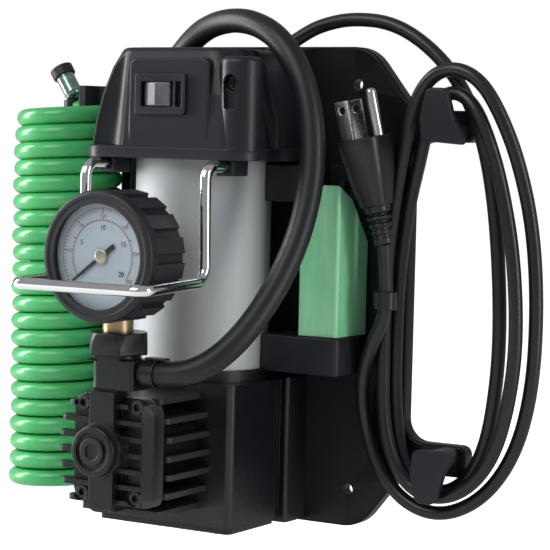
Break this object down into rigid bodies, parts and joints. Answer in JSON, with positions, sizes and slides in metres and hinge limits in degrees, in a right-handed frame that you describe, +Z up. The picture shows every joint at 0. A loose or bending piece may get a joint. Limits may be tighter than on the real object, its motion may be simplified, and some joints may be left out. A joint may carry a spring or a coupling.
{
  "type": "portable tire inflator",
  "caption": "Wall-mounted electric tyre inflator with finned pump, dial gauge, wire handle, coiled air hose with valve chuck, accessory bin and wound mains cord.",
  "frame": {"origin": "middle of the four wall holes, on the back face of the back plate", "axes": "+X to the object's right as seen from the front, +Y into the wall, +Z up"},
  "size_m": [0.2643, 0.137, 0.234],
  "materials": {
    "black_plastic": "fine moulded texture",
    "black_casting": "semi-gloss black paint",
    "satin_can": "satin silver",
    "boot_rubber": "matt",
    "hose_rubber": "satin",
    "cord_pvc": "satin",
    "green_hose": "glossy",
    "green_clear": "clear tinted",
    "bright_chrome": "polished",
    "brass": "machined",
    "steel": "zinc plated",
    "prong_metal": "nickel plated",
    "copper": "enamelled copper",
    "iron": "plain",
    "gauge_glass": "clear",
    "dial_white": "printed enamel",
    "needle_black": "matt",
    "board_green": "lacquered"
  },
  "bodies": {
    "root": {"accessory_tray": "black_plastic", "air_hose": "hose_rubber", "back_plate": "black_plastic", "brush_gear": "black_plastic", "carry_handle": "bright_chrome", "case_screws": "black_casting", "chuck_body": "bright_chrome", "chuck_elbow": "black_plastic", "coil_hose": "green_hose", "coil_hose_lead": "green_hose", "cord_clip": "cord_pvc", "cord_gland": "cord_pvc", "cord_hooks": "black_plastic", "crankcase": "black_casting", "crankcase_cover": "black_casting", "cylinder_head": "black_casting", "field_magnets": "iron", "finned_cylinder": "black_casting", "gauge_boot": "boot_rubber", "gauge_case": "black_casting", "gauge_dial": "dial_white", "gauge_lens": "gauge_glass", "gauge_movement": "brass", "gauge_nut": "black_casting", "gauge_stem": "brass", "handle_clips": "black_plastic", "head_cap": "black_casting", "head_gasket": "boot_rubber", "head_screws": "black_casting", "hose_clamp": "black_casting", "hose_coupling": "hose_rubber", "hose_peg": "black_plastic", "manifold": "black_casting", "motor_can": "satin_can", "motor_end_lower": "satin_can", "motor_end_upper": "satin_can", "plug_body": "cord_pvc", "plug_prongs": "prong_metal", "power_cord": "cord_pvc", "rectifier_board": "board_green", "shaft_bearings": "steel", "switch_bezel": "black_plastic", "switch_body": "black_plastic", "top_housing": "black_plastic", "upper_bracket": "black_plastic", "valve_plate": "steel"},
    "rotor": {"motor_shaft": "steel", "armature_core": "iron", "armature_windings": "copper", "commutator": "copper", "cooling_fan": "black_plastic", "crank_disc": "steel"},
    "piston_set": {"piston": "satin_can", "piston_seal": "boot_rubber", "wrist_pin": "steel", "connecting_rod": "steel"},
    "rocker": {"switch_rocker": "black_plastic"},
    "needle": {"gauge_needle": "needle_black"},
    "bin": {"accessory_bin": "green_clear"},
    "collar": {"chuck_collar": "boot_rubber"}
  },
  "joints": [
    {"name": "rotor_spin", "type": "hinge", "parent": "root", "child": "rotor", "pos_m": [0, -0.04, 0], "axis": [0, 0, 1], "continuous": true},
    {"name": "piston_stroke", "type": "slide", "parent": "root", "child": "piston_set", "axis": [0, -1, 0], "range_m": [-0.006, 0.006]},
    {"name": "switch_rock", "type": "hinge", "parent": "root", "child": "rocker", "pos_m": [-0.00125, -0.0725, 0.0852], "axis": [0, 0, 1], "range_deg": [0, 14]},
    {"name": "needle_sweep", "type": "hinge", "parent": "root", "child": "needle", "pos_m": [0, -0.118, 0.0155], "axis": [0, 1, 0], "range_deg": [0, 252], "stiffness_Nm_per_rad": 0.00005},
    {"name": "bin_lift", "type": "slide", "parent": "root", "child": "bin", "axis": [0, 0, 1], "range_m": [0, 0.012]},
    {"name": "collar_spin", "type": "hinge", "parent": "root", "child": "collar", "pos_m": [-0.094, -0.0141, 0.0866], "axis": [-0.5501, 0, 0.8351], "continuous": true}
  ]
}
